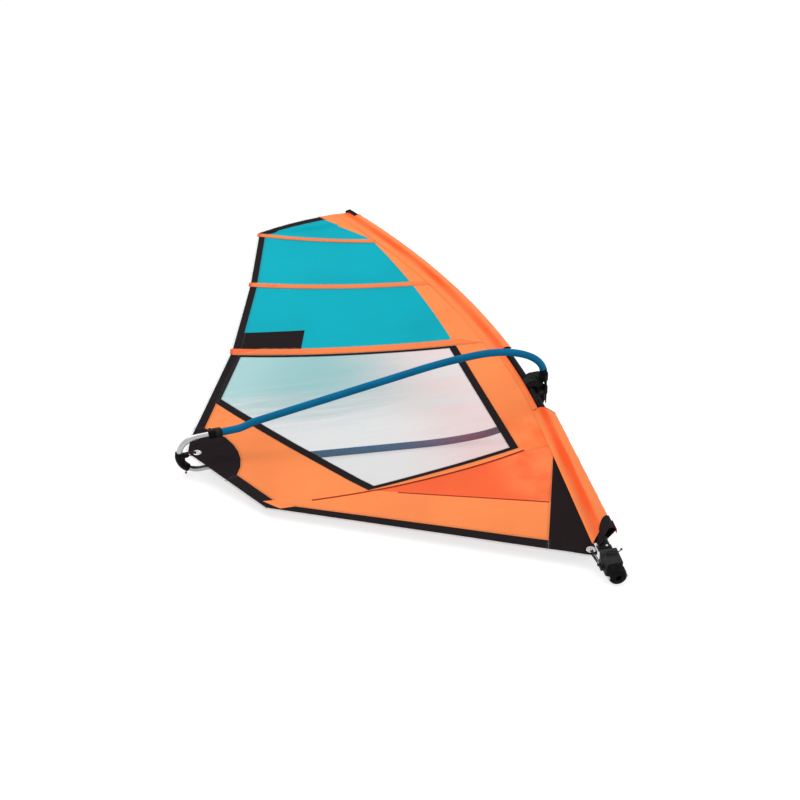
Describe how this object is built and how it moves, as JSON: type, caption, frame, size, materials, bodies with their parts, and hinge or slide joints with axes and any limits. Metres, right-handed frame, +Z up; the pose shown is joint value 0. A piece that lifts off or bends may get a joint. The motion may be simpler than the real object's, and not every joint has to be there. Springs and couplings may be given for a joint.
{
  "type": "windsurf rig",
  "caption": "Windsurf rig lying flat: battened sail with a clear window and luff sleeve on a bent mast, wishbone boom, outhaul tail and a mast extension with a foot cup.",
  "frame": {"origin": "centre of the bounding box in plan, on the ground that the rig lies on", "axes": "+Y towards the mast head, in plan along the mast; +X from the clew towards the mast; +Z up off the ground"},
  "size_m": [1.5626, 2.788, 0.5352],
  "materials": {
    "orange_cloth": "coated woven sailcloth, satin",
    "teal_cloth": "coated woven sailcloth, satin",
    "black_cloth": "woven reinforcement cloth, matt",
    "window_film": "clear film, glossy",
    "glass_fibre": "wound fibre tube, satin",
    "batten_fibre": "fibre strip, satin",
    "blue_foam": "closed-cell foam grip, matt",
    "aluminium": "drawn tube, brushed",
    "black_plastic": "moulded, matt",
    "grey_plastic": "moulded, matt",
    "black_rubber": "matt",
    "steel": "stainless, brushed",
    "red_webbing": "woven webbing",
    "black_line": "braided line"
  },
  "bodies": {
    "rig": {"batten_head": "batten_fibre", "batten_middle": "batten_fibre", "batten_pocket_head": "orange_cloth", "batten_pocket_middle": "orange_cloth", "batten_pocket_window": "orange_cloth", "batten_window": "batten_fibre", "boom_arm_lower": "aluminium", "boom_arm_upper": "aluminium", "boom_head": "black_plastic", "boom_head_band": "grey_plastic", "boom_head_pad": "black_rubber", "boom_head_pin": "steel", "clew_panel": "orange_cloth", "clew_patch": "black_cloth", "clip_lower": "black_plastic", "clip_upper": "black_plastic", "cutout_binding": "black_cloth", "cutout_flap_lower": "orange_cloth", "cutout_flap_upper": "orange_cloth", "extension_collar": "black_plastic", "eyelet_clew": "steel", "eyelet_tack": "steel", "foot_panel": "orange_cloth", "foot_tape": "black_cloth", "grip_lower": "blue_foam", "grip_upper": "blue_foam", "head_panel": "teal_cloth", "head_strap": "black_cloth", "leech_tape": "black_cloth", "luff_panel": "orange_cloth", "mast_lower": "glass_fibre", "mast_tip_cap": "black_plastic", "mast_upper": "glass_fibre", "middle_panel": "teal_cloth", "sleeve_lower": "orange_cloth", "sleeve_upper": "orange_cloth", "tack_fairing": "black_cloth", "tack_panel": "orange_cloth", "tack_patch": "black_cloth", "tack_strap": "red_webbing", "upper_panel": "teal_cloth", "window": "window_film", "window_tape": "black_cloth"},
    "extension": {"extension_tube": "aluminium", "pulley_box": "black_plastic", "base_cup": "black_plastic", "downhaul_line": "black_line"},
    "downhaul_sheave_front": {"downhaul_sheave_front": "grey_plastic"},
    "downhaul_sheave_rear": {"downhaul_sheave_rear": "grey_plastic"},
    "collar_lock": {"collar_lock": "grey_plastic"},
    "cup_button_front": {"cup_button_front": "grey_plastic"},
    "cup_button_rear": {"cup_button_rear": "grey_plastic"},
    "boom_head_lever": {"boom_head_lever": "black_plastic"},
    "clip_lever_upper": {"clip_lever_upper": "black_plastic"},
    "clip_lever_lower": {"clip_lever_lower": "black_plastic"},
    "boom_tail": {"boom_tail": "aluminium", "tail_fitting": "black_plastic", "outhaul_line": "black_line"},
    "outhaul_sheave_upper": {"outhaul_sheave_upper": "grey_plastic"},
    "outhaul_sheave_lower": {"outhaul_sheave_lower": "grey_plastic"}
  },
  "joints": [
    {"name": "extension_slide", "type": "slide", "parent": "rig", "child": "extension", "axis": [0, -0.9814, -0.1919], "range_m": [0, 0.06], "deforming": ["downhaul_line"]},
    {"name": "downhaul_sheave_front_spin", "type": "hinge", "parent": "extension", "child": "downhaul_sheave_front", "pos_m": [0.66357, -1.31876, 0.04074], "axis": [-0.9946, 0.0199, -0.1019], "continuous": true},
    {"name": "downhaul_sheave_rear_spin", "type": "hinge", "parent": "extension", "child": "downhaul_sheave_rear", "pos_m": [0.6575, -1.31864, 0.04012], "axis": [-0.9946, 0.0199, -0.1019], "continuous": true},
    {"name": "collar_lock_press", "type": "slide", "parent": "rig", "child": "collar_lock", "axis": [0.1038, 0.1908, -0.9761], "range_m": [0, 0.003], "stiffness_N_per_m": 600},
    {"name": "cup_button_front_press", "type": "slide", "parent": "extension", "child": "cup_button_front", "axis": [-0.9946, 0.0199, -0.1019], "range_m": [0, 0.0035], "stiffness_N_per_m": 600},
    {"name": "cup_button_rear_press", "type": "slide", "parent": "extension", "child": "cup_button_rear", "axis": [0.9946, -0.0199, 0.1019], "range_m": [0, 0.0035], "stiffness_N_per_m": 600},
    {"name": "boom_head_lever_open", "type": "hinge", "parent": "rig", "child": "boom_head_lever", "pos_m": [0.77285, -0.17559, 0.27586], "axis": [-0.1038, -0.1908, 0.9761], "range_deg": [0, 110]},
    {"name": "clip_lever_upper_open", "type": "hinge", "parent": "rig", "child": "clip_lever_upper", "pos_m": [-0.64195, -0.32801, 0.17652], "axis": [-0.1038, -0.1908, 0.9761], "range_deg": [0, 100]},
    {"name": "clip_lever_lower_open", "type": "hinge", "parent": "rig", "child": "clip_lever_lower", "pos_m": [-0.62555, -0.29786, 0.02229], "axis": [-0.1038, -0.1908, 0.9761], "range_deg": [0, 100]},
    {"name": "boom_tail_slide", "type": "slide", "parent": "rig", "child": "boom_tail", "axis": [-0.9891, -0.0828, -0.1214], "range_m": [0, 0.05], "deforming": ["outhaul_line"]},
    {"name": "outhaul_sheave_upper_spin", "type": "hinge", "parent": "boom_tail", "child": "outhaul_sheave_upper", "pos_m": [-0.73639, -0.33825, 0.08354], "axis": [-0.104, 0.9781, 0.1802], "continuous": true},
    {"name": "outhaul_sheave_lower_spin", "type": "hinge", "parent": "boom_tail", "child": "outhaul_sheave_lower", "pos_m": [-0.73576, -0.34421, 0.08244], "axis": [-0.104, 0.9781, 0.1802], "continuous": true}
  ]
}
